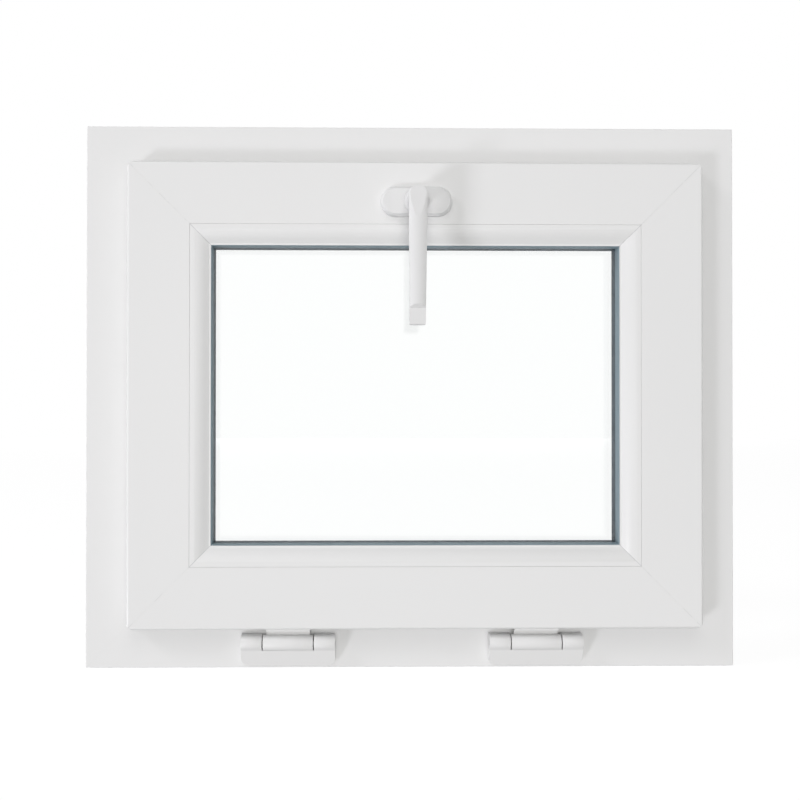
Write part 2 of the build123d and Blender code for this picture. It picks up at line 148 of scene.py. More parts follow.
class Graph:
    """Node tree of one material or world."""

    def __init__(self, owner: "bpy.types.Material | bpy.types.World") -> None:
        """Empties the owner's tree.

        Args:
            owner: Material or world to build.
        """
        owner.use_nodes = True
        self.owner = owner
        self.tree = owner.node_tree
        self.tree.nodes.clear()
        self._place: bpy.types.Node | None = None

    @classmethod
    def material(cls, name: str) -> "Graph":
        """Graph of a new material."""
        return cls(bpy.data.materials.new(name))

    def node(
        self,
        kind: str,
        settings: Mapping[str, object] | None = None,
        inputs: Mapping[str | int, object] | None = None,
    ) -> bpy.types.Node:
        """Adds any node.

        Args:
            kind: Type of the node.
            settings: Properties that are set first.
            inputs: Values or links of its sockets, by name or index.

        Returns:
            The node.
        """
        made = self.tree.nodes.new(kind)
        for name, value in (settings or {}).items():
            setattr(made, name, value)
        for name, value in (inputs or {}).items():
            source = value.socket if isinstance(value, Val) else value
            if isinstance(source, bpy.types.NodeSocket):
                self.tree.links.new(source, made.inputs[name])
            else:
                made.inputs[name].default_value = source
        return made

    def place(self) -> bpy.types.NodeSocket:
        """Object coordinates, in metres.

        Returns:
            Their socket.
        """
        if self._place is None:
            self._place = self.node("ShaderNodeTexCoord")
        return self._place.outputs["Object"]

    def axes(self) -> tuple[Val, Val, Val]:
        """The object coordinates one by one.

        Returns:
            x, y and z.
        """
        split = self.node("ShaderNodeSeparateXYZ", inputs={0: self.place()})
        return tuple(Val(self, socket) for socket in split.outputs)

    def noise(self, scale: float | Sequence[float], detail: float = 2.0) -> Val:
        """Cloudy noise between 0 and 1.

        Args:
            scale: Blotches a metre, one number or one for each axis.
            detail: Octaves of finer noise.

        Returns:
            The noise.
        """
        place = self.place()
        if isinstance(scale, Sequence):
            place = self.node("ShaderNodeMapping", inputs={"Vector": place, "Scale": scale}).outputs[0]
            scale = 1.0
        made = self.node("ShaderNodeTexNoise", inputs={"Vector": place, "Scale": scale, "Detail": detail})
        return Val(self, made.outputs[0])

    def rays(self, kinds: Sequence[str]) -> Val:
        """Mask of some kinds of ray.

        Args:
            kinds: Names of Light Path's outputs.

        Returns:
            1 for a ray of any of the kinds.
        """
        path = self.node("ShaderNodeLightPath")
        mask, *others = (Val(self, path.outputs[kind]) for kind in kinds)
        for other in others:
            mask = mask.math("MAXIMUM", other)
        return mask

    def mix(self, mask: Val, low: "Colour | bpy.types.NodeSocket", high: Colour) -> bpy.types.NodeSocket:
        """Colour that runs from one to another with a mask.

        Args:
            mask: Value from 0 to 1.
            low: Colour at 0, plain or varying.
            high: Colour at 1.

        Returns:
            The colour's socket.
        """
        start = low if isinstance(low, bpy.types.NodeSocket) else (*low, 1.0)
        factor, first, second, result = 0, 6, 7, 2
        inputs = {factor: mask, first: start, second: (*high, 1.0)}
        return self.node("ShaderNodeMix", {"data_type": "RGBA"}, inputs).outputs[result]

    def blend(self, share: "Val | float", first: bpy.types.Node, second: bpy.types.Node) -> bpy.types.Node:
        """Mix of two shaders.

        Args:
            share: Share of the second one.
            first: Shader at 0.
            second: Shader at 1.

        Returns:
            The mixed shader's node.
        """
        inputs = {0: share, 1: first.outputs[0], 2: second.outputs[0]}
        return self.node("ShaderNodeMixShader", inputs=inputs)

    def bump(self, height: Val, distance: float, strength: float) -> bpy.types.NodeSocket:
        """Normal from a height.

        Args:
            height: Height from 0 to 1.
            distance: Depth in metres of a height of 1.
            strength: Share of the effect.

        Returns:
            The normal's socket.
        """
        inputs = {"Strength": strength, "Distance": distance, "Height": height}
        return self.node("ShaderNodeBump", inputs=inputs).outputs[0]

    def surface(self, inputs: Mapping[str, object]) -> bpy.types.Material:
        """Ends the material with a Principled surface.

        Args:
            inputs: Values or links of the surface's sockets.

        Returns:
            The material.
        """
        return self.output(self.node("ShaderNodeBsdfPrincipled", inputs=inputs))

    def output(self, shader: bpy.types.Node, kind: str = "ShaderNodeOutputMaterial") -> bpy.types.ID:
        """Joins a shader to the output.

        Args:
            shader: Node of the shader.
            kind: Type of the output node.

        Returns:
            The finished material or world.
        """
        self.node(kind, {"is_active_output": True}, {"Surface": shader.outputs[0]})
        return self.owner


# Rings


@dataclass(frozen=True)
class Ring:
    """Rectangle in the plane of the window, which a profile or a seal runs round."""

    width: float
    height: float
    x: float
    z: float

    @classmethod
    def round_nodes(cls, *nodes: str) -> "Ring":
        """Ring round some CAD nodes.

        Args:
            nodes: Names of the nodes.

        Returns:
            The ring of their common outline.
        """
        corners = [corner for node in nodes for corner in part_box(node)]
        low = [min(corner[axis] for corner in corners) for axis in (0, 2)]
        high = [max(corner[axis] for corner in corners) for axis in (0, 2)]
        return cls(high[0] - low[0], high[1] - low[1], (high[0] + low[0]) / 2, (high[1] + low[1]) / 2)

    @property
    def left(self) -> float:
        """Its left edge."""
        return self.x - self.width / 2

    def grown(self, distance: float) -> "Ring":
        """Larger ring about the same middle."""
        return Ring(self.width + 2 * distance, self.height + 2 * distance, self.x, self.z)

    def mitre_distance(self, graph: Graph) -> Val:
        """Distance of a point from the nearest of the mitres that run in from the corners.

        Args:
            graph: Graph that measures it.

        Returns:
            Distance in metres.
        """
        x, _, z = graph.axes()
        across = self.width / 2 - abs(x - self.x)
        along = self.height / 2 - abs(z - self.z)
        return abs(across - along) / math.sqrt(2)

    def loop(self, section: Outline, rounding: float, segments: int) -> bmesh.types.BMesh:
        """Runs a section round the ring, mirrored from corner to corner.

        Args:
            section: Closed outline as (distance inwards, depth), in metres.
            rounding: Radius of its long edges.
            segments: Steps of each rounded edge.

        Returns:
            The closed ring.
        """
        mesh = bmesh.new()
        low = self.z - self.height / 2
        start = [mesh.verts.new((self.left + inwards, depth, low + inwards)) for inwards, depth in section]
        edges = [mesh.edges.new(pair) for pair in zip(start, start[1:] + start[:1])]
        middle = Matrix.Translation((-self.x, 0.0, -self.z))
        across, up = (-1, 1, 1), (1, 1, -1)
        for mirror in (across, up, across, up):
            made = bmesh.ops.extrude_edge_only(mesh, edges=edges)["geom"]
            moved = [item for item in made if isinstance(item, bmesh.types.BMVert)]
            edges = [item for item in made if isinstance(item, bmesh.types.BMEdge)]
            edges = [edge for edge in edges if all(vert in moved for vert in edge.verts)]
            bmesh.ops.scale(mesh, vec=mirror, space=middle, verts=moved)
        bmesh.ops.remove_doubles(mesh, verts=mesh.verts, dist=JOIN)
        bmesh.ops.bevel(
            mesh, geom=self.long_corners(mesh), offset=rounding, segments=segments, profile=0.5,
            affect="EDGES", material=-1, clamp_overlap=True,
        )
        return mesh

    def long_corners(self, mesh: bmesh.types.BMesh) -> list[bmesh.types.BMEdge]:
        """Edges that run along a side of the ring where the section turns.

        Args:
            mesh: The closed ring.

        Returns:
            The edges.
        """
        chosen = []
        for edge in mesh.edges:
            along = edge.verts[1].co - edge.verts[0].co
            is_long = max(abs(along.x), abs(along.z)) > min(self.width, self.height) / 2
            if is_long and edge.is_manifold and edge.calc_face_angle(0.0) > CORNER_ANGLE:
                chosen.append(edge)
        return chosen


# Finishes


class Lie(Enum):
    """Ways that a length of profile lies in its ring."""

    LEVEL = "level"
    UPRIGHT = "upright"


@dataclass(frozen=True)
class Weld:
    """Cleaned weld at the mitres of a profile: a fine groove, a little darker, whole or in broken bits."""

    show: float
    depth: float
    colour: Colour = (0.60, 0.61, 0.61)
    breaks: float = 0.0
    break_level: float = 0.48
    break_contrast: float = 10.0
    width: float = 0.45 * MM
    roughness: float = 0.2

    def seam(self, graph: Graph, ring: Ring) -> Val:
        """Mask of the weld.

        Args:
            graph: Graph of the profile's material.
            ring: Ring that the profile runs round.

        Returns:
            1 in the middle of the seam, 0 beside it.
        """
        seam = ring.mitre_distance(graph).near(0.0, self.width)
        if self.breaks:
            bits = (graph.noise(self.breaks, detail=1.0) - self.break_level) * self.break_contrast
            seam = seam * bits.clamped()
        return seam


@dataclass(frozen=True)
class Upvc:
    """Extruded white window plastic: drawn along its length, glossy, with a weld at each mitre."""

    name: str
    ring: Ring
    lie: Lie
    weld: Weld
    colour: Colour = (0.815, 0.815, 0.812)
    cool: Colour = (0.79, 0.792, 0.79)
    roughness: float = 0.30
    cloud_roughness: float = 0.08
    line_roughness: float = 0.06
    ior: float = 1.53
    clouds: float = 5.0
    die_lines: float = 1800.0
    die_stretch: float = 0.004
    skin: float = 240.0
    line_height: float = 0.25
    skin_height: float = 0.5
    relief: float = 0.05 * MM
    relief_show: float = 0.35

    def build(self) -> bpy.types.Material:
        """Makes the material.

        Returns:
            The material.
        """
        graph = Graph.material(self.name)
        cloud = graph.noise(self.clouds)
        along = self.die_lines * self.die_stretch
        level = (along, self.die_lines, self.die_lines)
        upright = (self.die_lines, self.die_lines, along)
        lines = graph.noise(level if self.lie is Lie.LEVEL else upright, detail=3.0)
        skin = graph.noise(self.skin, detail=1.0)
        seam = self.weld.seam(graph, self.ring)
        plastic = graph.mix(cloud, self.cool, self.colour)
        drawn = self.roughness + cloud.swing(self.cloud_roughness) + lines.swing(self.line_roughness)
        height = lines * self.line_height + skin * self.skin_height - seam * self.weld.depth
        return graph.surface({
            "Base Color": graph.mix(seam * self.weld.show, plastic, self.weld.colour),
            "Roughness": drawn + seam * self.weld.roughness,
            "IOR": self.ior,
            "Normal": graph.bump(height, self.relief, self.relief_show),
        })


@dataclass(frozen=True)
class PowderCoat:
    """White powder coat on cast metal: satin, with a fine orange peel, and a colour near the sill that can
    be lighter: painted light that offsets the shade under a hinge barrel.
    """

    name: str
    colour: Colour = (0.742, 0.744, 0.744)
    pale: Colour = (0.767, 0.767, 0.767)
    painted_light_toe: Colour = (0.742, 0.744, 0.744)
    painted_light_toe_height: float = 19.0 * MM
    painted_light_toe_blend: float = 1.5 * MM
    roughness: float = 0.38
    cloud_roughness: float = 0.08
    ior: float = 1.5
    clouds: float = 40.0
    peel: float = 900.0
    relief: float = 0.03 * MM
    relief_show: float = 0.35

    def build(self) -> bpy.types.Material:
        """Makes the material.

        Returns:
            The material.
        """
        graph = Graph.material(self.name)
        cloud = graph.noise(self.clouds)
        peel = graph.noise(self.peel)
        _, _, z = graph.axes()
        # Below the toe height the colour turns to the toe colour. On the hinge leaves it is a lighter one,
        # painted light against the shade under the barrel.
        low = ((self.painted_light_toe_height - z) / self.painted_light_toe_blend).clamped()
        return graph.surface({
            "Base Color": graph.mix(low, graph.mix(cloud, self.colour, self.pale), self.painted_light_toe),
            "Roughness": self.roughness + cloud.swing(self.cloud_roughness),
            "IOR": self.ior,
            "Normal": graph.bump(peel, self.relief, self.relief_show),
        })


@dataclass(frozen=True)
class Rubber:
    """Extruded seal, matt, with a fine grain and dusty wear."""

    name: str
    colour: Colour
    dust: Colour
    roughness: float = 0.62
    grain_roughness: float = 0.2
    clouds: float = 60.0
    grain: float = 1500.0
    relief: float = 0.03 * MM
    relief_show: float = 0.5

    def build(self) -> bpy.types.Material:
        """Makes the material.

        Returns:
            The material.
        """
        graph = Graph.material(self.name)
        cloud = graph.noise(self.clouds, detail=4.0)
        grain = graph.noise(self.grain)
        return graph.surface({
            "Base Color": graph.mix(cloud, self.colour, self.dust),
            "Roughness": self.roughness + grain.swing(self.grain_roughness),
            "Normal": graph.bump(grain, self.relief, self.relief_show),
        })


@dataclass(frozen=True)
class PlatedSteel:
    """Zinc-plated steel, rolled, with a slightly cloudy passivation."""

    name: str
    colour: Colour = (0.60, 0.60, 0.58)
    dull: Colour = (0.50, 0.51, 0.50)
    roughness: float = 0.36
    cloud_roughness: float = 0.16
    rolling_roughness: float = 0.12
    clouds: float = 90.0
    rolling: Sequence[float] = (12.0, 2600.0, 2600.0)
    relief: float = 0.02 * MM
    relief_show: float = 0.4

    def build(self) -> bpy.types.Material:
        """Makes the material.

        Returns:
            The material.
        """
        graph = Graph.material(self.name)
        cloud = graph.noise(self.clouds, detail=5.0)
        rolling = graph.noise(self.rolling)
        worn = self.roughness + cloud.swing(self.cloud_roughness)
        return graph.surface({
            "Base Color": graph.mix(cloud, self.colour, self.dull),
            "Metallic": 1.0,
            "Roughness": worn + rolling.swing(self.rolling_roughness),
            "Normal": graph.bump(rolling, self.relief, self.relief_show),
        })


@dataclass(frozen=True)
class SpacerBar:
    """Blue-grey spacer between the panes, with a double row of breathing holes along its sight face."""

    name: str
    front: float
    back: float
    colour: Colour = (0.062, 0.086, 0.110)
    dulled: float = 0.85
    front_colour: Colour = (0.18, 0.245, 0.29)
    butyl_colour: Colour = (0.05, 0.06, 0.07)
    hole: Colour = (0.04, 0.045, 0.05)
    roughness: float = 0.45
    cloud_roughness: float = 0.12
    gloss: float = 0.1
    clouds: float = 70.0
    edge: float = 0.5 * MM
    butyl: float = 1.6 * MM
    pitch: float = 3.0 * MM
    row_offset: float = 1.6 * MM
    hole_size: float = 0.35 * MM
    relief: float = 0.1 * MM
    relief_show: float = 0.6

    def build(self) -> bpy.types.Material:
        """Makes the material.

        Returns:
            The material.
        """
        graph = Graph.material(self.name)
        x, y, z = graph.axes()
        cloud = graph.noise(self.clouds, detail=3.0)
        row = abs(abs(y - (self.front + self.back) / 2) - self.row_offset)
        beat = abs((x + z).math("PINGPONG", self.pitch / 2) - self.pitch / 4)
        holes = row.math("LESS_THAN", self.hole_size) * beat.math("LESS_THAN", self.hole_size)
        dark = tuple(part * self.dulled for part in self.colour)
        metal = graph.mix(cloud, self.colour, dark)
        metal = graph.mix(y.near(self.front, self.edge), metal, self.front_colour)
        metal = graph.mix(y.near(self.back, self.butyl), metal, self.butyl_colour)
        return graph.surface({
            "Base Color": graph.mix(holes, metal, self.hole),
            "Roughness": self.roughness + cloud.swing(self.cloud_roughness),
            "Specular IOR Level": self.gloss,
            "Normal": graph.bump(1 - holes, self.relief, self.relief_show),
        })


@dataclass(frozen=True)
class MouldedPlastic:
    """Hard moulded plastic, slightly mottled."""

    name: str
    colour: Colour
    mottle: Colour
    roughness: float = 0.5
    cloud_roughness: float = 0.1
    clouds: float = 120.0
    relief: float = 0.04 * MM
    relief_show: float = 0.4

    def build(self) -> bpy.types.Material:
        """Makes the material.

        Returns:
            The material.
        """
        graph = Graph.material(self.name)
        cloud = graph.noise(self.clouds, detail=3.0)
        return graph.surface({
            "Base Color": graph.mix(cloud, self.colour, self.mottle),
            "Roughness": self.roughness + cloud.swing(self.cloud_roughness),
            "Normal": graph.bump(cloud, self.relief, self.relief_show),
        })


@dataclass(frozen=True)
class FloatGlass:
    """Clear float glass with a very thin film of dirt, plainly see-through to the lamps' light."""

    name: str
    colour: Colour = (0.992, 0.998, 0.996)
    to_lamps: Colour = (0.93, 0.95, 0.945)
    film: float = 0.015
    film_clouds: float = 8.0
    ior: float = 1.52

    def build(self) -> bpy.types.Material:
        """Makes the material.

        Returns:
            The material.
        """
        graph = Graph.material(self.name)
        glass = graph.node("ShaderNodeBsdfPrincipled", inputs={
            "Base Color": (*self.colour, 1.0),
            "Transmission Weight": 1.0,
            "IOR": self.ior,
            "Roughness": graph.noise(self.film_clouds) * self.film,
        })
        clear = graph.node("ShaderNodeBsdfTransparent", inputs={"Color": (*self.to_lamps, 1.0)})
        return graph.output(graph.blend(graph.rays(LIT_RAYS), glass, clear))


# Pieces


def piece(
    name: str, body: str, mesh: bmesh.types.BMesh, material: bpy.types.Material
) -> bpy.types.Object:
    """Turns a bmesh into a finished piece that rides on a body.

    Args:
        name: Name of the piece.
        body: CAD body that it moves with.
        mesh: Its shape, in the window's own frame. It is freed.
        material: Its finish.

    Returns:
        The object.
    """
    bmesh.ops.recalc_face_normals(mesh, faces=mesh.faces)
    data = bpy.data.meshes.new(name)
    mesh.to_mesh(data)
    mesh.free()
    data.materials.append(material)
    data.shade_smooth()
    data.set_sharp_from_angle(angle=SMOOTH_ANGLE)
    made = bpy.data.objects.new(name, data)
    bpy.context.scene.collection.objects.link(made)
    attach(made, body)
    LOG.info("piece %s on %s: %d faces", name, body, len(data.polygons))
    return made


@dataclass(frozen=True)
class ScrewHead:
    """Countersunk head with a cross recess, sunk into a plate but for its crown."""

    radius: float = 3.3 * MM
    steps: int = 24
    crown: float = 0.25 * MM
    rim: float = 0.12 * MM
    sunk: float = 0.2 * MM
    depth: float = 0.9 * MM
    arm: float = 1.75 * MM
    arm_angle: float = 20.0
    waist: float = 0.62 * MM

    def add(self, mesh: bmesh.types.BMesh, place: Vector, out: Vector) -> None:
        """Adds one head.

        Args:
            mesh: Mesh that it goes into.
            place: Middle of the head on the plate's face.
            out: Direction that it faces.
        """
        first = len(mesh.verts)
        rim = bmesh.ops.create_circle(mesh, cap_ends=True, segments=self.steps, radius=self.radius)["verts"]
        face = rim[0].link_faces[0]
        bmesh.ops.translate(mesh, verts=rim, vec=(0, 0, self.rim))
        bmesh.ops.inset_region(mesh, faces=[face], thickness=self.radius - self.arm, depth=0)
        bmesh.ops.translate(mesh, verts=face.verts[:], vec=(0, 0, self.crown - self.rim))
        for vert in face.verts:
            turn = math.degrees(math.atan2(vert.co.y, vert.co.x)) % 90
            if self.arm_angle < turn < 90 - self.arm_angle:
                share = self.waist * math.sqrt(2) / vert.co.xy.length
                vert.co.x *= share
                vert.co.y *= share
        bottom = bmesh.ops.extrude_discrete_faces(mesh, faces=[face])["faces"][0]
        bmesh.ops.translate(mesh, verts=bottom.verts[:], vec=(0, 0, -self.depth))
        edges = {edge for vert in rim for edge in vert.link_edges if edge.is_boundary}
        skirt = bmesh.ops.extrude_edge_only(mesh, edges=list(edges))["geom"]
        low = [item for item in skirt if isinstance(item, bmesh.types.BMVert)]
        bmesh.ops.translate(mesh, verts=low, vec=(0, 0, -self.rim - self.sunk))
        mesh.verts.ensure_lookup_table()
        turned = Matrix.Translation(place) @ out.to_track_quat("Z", "Y").to_matrix().to_4x4()
        bmesh.ops.transform(mesh, matrix=turned, verts=mesh.verts[first:])


# Sections of the seals


@dataclass(frozen=True)
class BulbSection:
    """Outline of the bulb seal: a foot, a neck and a bulb with a flat crown."""

    width: float = 4.5 * MM
    foot: float = 0.9 * MM
    neck: float = 1.3 * MM
    swell: float = 0.5 * MM
    crown: float = 1.5 * MM

    def outline(self, start: float, base: float, tip: float) -> Outline:
        """Outline that stands out from its foot, towards the room.

        Args:
            start: Distance inwards of its outer edge.
            base: Depth of its foot.
            tip: Depth of its crown.

        Returns:
            Points as (distance inwards, depth).
        """
        end = start + self.width
        return [
            (start, base), (end, base), (end, base - self.foot), (end - self.foot, base - self.neck),
            (end - self.swell, tip + self.foot), (end - self.crown, tip), (start + self.crown, tip),
            (start + self.swell, tip + self.foot), (start + self.foot, base - self.neck),
            (start, base - self.foot),
        ]


@dataclass(frozen=True)
class LeaningSection:
    """Outline of the flange seal: a foot and a thin lip that leans inwards."""

    foot_width: float = 3.0 * MM
    foot: float = 1.0 * MM
    inner_root: tuple[float, float] = (2.0 * MM, 1.5 * MM)
    outer_root: tuple[float, float] = (0.7 * MM, 1.6 * MM)
    nose: tuple[float, float] = (2.9 * MM, 0.6 * MM)
    tip_end: float = 2.5 * MM
    tip_start: float = 1.7 * MM

    def outline(self, start: float, base: float, tip: float) -> Outline:
        """Outline that stands out from its foot, away from the room.

        Args:
            start: Distance inwards of its outer edge.
            base: Depth of its foot.
            tip: Depth of the lip's end.

        Returns:
            Points as (distance inwards, depth).
        """
        end = start + self.foot_width
        return [
            (start, base), (end, base), (end, base + self.foot),
            (start + self.inner_root[0], base + self.inner_root[1]),
            (start + self.nose[0], tip - self.nose[1]), (start + self.tip_end, tip),
            (start + self.tip_start, tip), (start + self.outer_root[0], base + self.outer_root[1]),
            (start, base + self.foot),
        ]


@dataclass(frozen=True)
class BeadLipSection:
    """Outline of the soft lip that closes the bead on the glass, from behind the bead to the pane."""

    behind: float = 0.05 * MM
    slope: float = 3.0 * MM
    clear: float = 0.04 * MM
    shoulder: float = 1.4 * MM
    round_start: tuple[float, float] = (0.04 * MM, 0.5 * MM)
    front: float = 0.4 * MM
    round_end: tuple[float, float] = (0.9 * MM, 0.6 * MM)
    waist: tuple[float, float] = (0.6 * MM, 3.0 * MM)
    foot: float = 1.0 * MM

    def outline(self, start: float, side: float, bead_back: float, room: float, glass: float) -> Outline:
        """Outline round the bead's inner edge.

        Args:
            start: Distance inwards of its outer edge.
            side: Distance inwards of the bead's sight edge.
            bead_back: Depth of the bead's back.
            room: Depth of the lip's end towards the room.
            glass: Depth of the pane.

        Returns:
            Points as (distance inwards, depth).
        """
        return [
            (start, bead_back + self.behind), (side - self.slope, bead_back + self.behind),
            (side + self.clear, bead_back - self.shoulder),
            (side + self.round_start[0], room + self.round_start[1]), (side + self.front, room),
            (side + self.round_end[0], room + self.round_end[1]),
            (side + self.waist[0], glass - self.waist[1]), (side + self.foot, glass), (start, glass),
        ]


@dataclass(frozen=True)
class OuterLipSection:
    """Outline of the lip between the outer pane and the sash, which slopes away from the pane."""

    shoulder: tuple[float, float] = (0.2 * MM, 0.8 * MM)
    slope: float = 1.2 * MM

    def outline(self, start: float, edge: float, glass: float, sash: float) -> Outline:
        """Outline that fills the gap.

        Args:
            start: Distance inwards of its outer edge.
            edge: Distance inwards of its sight edge.
            glass: Depth of the pane.
            sash: Depth of the sash's lip.

        Returns:
            Points as (distance inwards, depth).
        """
        return [
            (start, glass), (edge, glass), (edge - self.shoulder[0], glass + self.shoulder[1]),
            (edge - self.slope, sash), (start, sash),
        ]


# Sub-assemblies


class Side(Enum):
    """Sides of the window as seen from the room."""

    LEFT = "left"
    RIGHT = "right"


@dataclass
class CadFinish:
    """Carried-over CAD nodes that share a finish, with their edges softened."""

    material: bpy.types.Material
    nodes: Sequence[str]
    edge: float = 0.35 * MM
    steps: int = 3
    join: float = 0.005 * MM
    flat_angle: float = math.radians(0.3)
    edge_angle: float = math.radians(30)

    def dress(self) -> None:
        """Gives the nodes their material and softens their edges."""
        for name in self.nodes:
            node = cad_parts[name]
            for slot in node.material_slots:
                slot.material = self.material
            if not node.material_slots:
                node.data.materials.append(self.material)
            weld = node.modifiers.new("weld", "WELD")
            weld.merge_threshold = self.join
            flat = node.modifiers.new("flat", "DECIMATE")
            flat.decimate_type = "DISSOLVE"
            flat.angle_limit = self.flat_angle
            if self.edge:
                soft = node.modifiers.new("soft_edge", "BEVEL")
                soft.width = self.edge
                soft.segments = self.steps
                soft.limit_method = "ANGLE"
                soft.angle_limit = self.edge_angle
                soft.harden_normals = True
                soft.use_clamp_overlap = True
            LOG.info("dressed %s with %s", name, self.material.name)


@dataclass
class ProfileRing:
    """Four mitred lengths of one plastic profile, each drawn along its own length."""

    word: str
    nodes: Sequence[str]
    ring: Ring
    edge: float
    weld: Weld

    def dress(self) -> None:
        """Dresses the level lengths and the upright ones."""
        for lie in Lie:
            is_upright = lie is Lie.UPRIGHT
            lengths = [name for name in self.nodes if name.endswith(("left", "right")) == is_upright]
            plastic = Upvc(f"{self.word}_upvc_{lie.value}", self.ring, lie, self.weld)
            CadFinish(plastic.build(), lengths, self.edge).dress()


@dataclass
class WeatherSeals:
    """Seals of the rebate, the flange and the glass, each one extruded lip that runs all the way round."""

    frame_ring: Ring
    sash_ring: Ring
    glass_ring: Ring
    dark: bpy.types.Material
    pale: bpy.types.Material
    rounding: float = 0.45 * MM
    bead_rounding: float = 0.25 * MM
    outer_rounding: float = 0.3 * MM
    steps: int = 3
    bead_steps: int = 2

    def build(self) -> None:
        """Makes the four seals and lets them stand for their CAD solids."""
        self.stop_seal()
        self.flange_seal()
        self.bead_lip()
        self.outer_lip()

    def stop_seal(self) -> None:
        """Bulb seal on the stop of the frame."""
        low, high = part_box("frame_seal")
        section = BulbSection().outline(low.x - self.frame_ring.left, high.y, low.y)
        mesh = self.frame_ring.loop(section, self.rounding, self.steps)
        made = piece("stop_bulb_seal", "frame", mesh, self.dark)
        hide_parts("frame_seal")

    def flange_seal(self) -> None:
        """Leaning lip seal on the back of the sash flange."""
        low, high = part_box("sash_seal")
        section = LeaningSection().outline(low.x - self.sash_ring.left, low.y, high.y)
        mesh = self.sash_ring.loop(section, self.rounding, self.steps)
        made = piece("flange_lip_seal", "sash", mesh, self.dark)
        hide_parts("sash_seal")

    def bead_lip(self) -> None:
        """Soft lip that closes the bead on the inner pane."""
        low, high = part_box("glazing_seal_inner")
        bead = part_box("bead_left")[1]
        start = low.x - self.glass_ring.left
        section = BeadLipSection().outline(start, bead.x - self.glass_ring.left, bead.y, low.y, high.y)
        mesh = self.glass_ring.loop(section, self.bead_rounding, self.bead_steps)
        made = piece("bead_lip_seal", "sash", mesh, self.pale)
        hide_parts("glazing_seal_inner")

    def outer_lip(self) -> None:
        """Lip between the outer pane and the sash."""
        low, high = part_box("glazing_seal_outer")
        reach = high.x - self.glass_ring.left
        edge = self.glass_ring.width - reach
        section = OuterLipSection().outline(low.x - self.glass_ring.left, edge, low.y, high.y)
        mesh = self.glass_ring.loop(section, self.outer_rounding, self.steps)
        made = piece("outer_glazing_lip", "sash", mesh, self.dark)
        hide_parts("glazing_seal_outer")


@dataclass
class GearFasteners:
    """Countersunk screws of the sash gear and of the frame's keeps."""

    steel: bpy.types.Material
    plate_screws: Sequence[float] = (-0.205, -0.175, -0.09, -0.03, 0.03, 0.09, 0.175, 0.205)
    keep_screws: Sequence[float] = (-0.0225, 0.0225)
    head: ScrewHead = ScrewHead()

    def build(self) -> None:
        """Puts the screws in."""
        mesh = self.row("gear_faceplate", self.plate_screws, Vector((0, 0, 1)))
        piece("faceplate_screws", "sash", mesh, self.steel)
        for side in Side:
            mesh = self.row(f"keep_{side.value}", self.keep_screws, Vector((0, 0, -1)))
            piece(f"keep_screws_{side.value}", "frame", mesh, self.steel)

    def row(self, node: str, screws: Sequence[float], out: Vector) -> bmesh.types.BMesh:
        """Row of screw heads along the middle of a plate.

        Args:
            node: CAD node of the plate.
            screws: Distances of the screws from its middle.
            out: Up or down, the way that the heads face.

        Returns:
            The heads.
        """
        low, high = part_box(node)
        middle = (low + high) / 2
        level = high.z if out.z > 0 else low.z
        mesh = bmesh.new()
        for x in screws:
            self.head.add(mesh, Vector((middle.x + x, middle.y, level)), out)
        return mesh


# Studio


@dataclass
class Lamp:
    """Soft rectangular lamp that faces the middle of the window."""

    name: str
    place: Place
    width: float
    height: float
    power: float
    colour: Colour = WHITE
    glossy: bool = True
    target: Place = (0.0, 0.0, 0.25)

    def build(self) -> None:
        """Hangs the lamp."""
        data = bpy.data.lights.new(self.name, "AREA")
        data.shape = "RECTANGLE"
        data.size, data.size_y = self.width, self.height
        data.energy = self.power
        data.color = self.colour
        made = bpy.data.objects.new(self.name, data)
        made.location = self.place
        aim = Vector(self.target) - Vector(self.place)
        made.rotation_euler = aim.to_track_quat("-Z", "Y").to_euler()
        made.visible_camera = False
        made.visible_glossy = self.glossy
        made.visible_transmission = False
        bpy.context.scene.collection.objects.link(made)
        LOG.info("lamp %s", self.name)


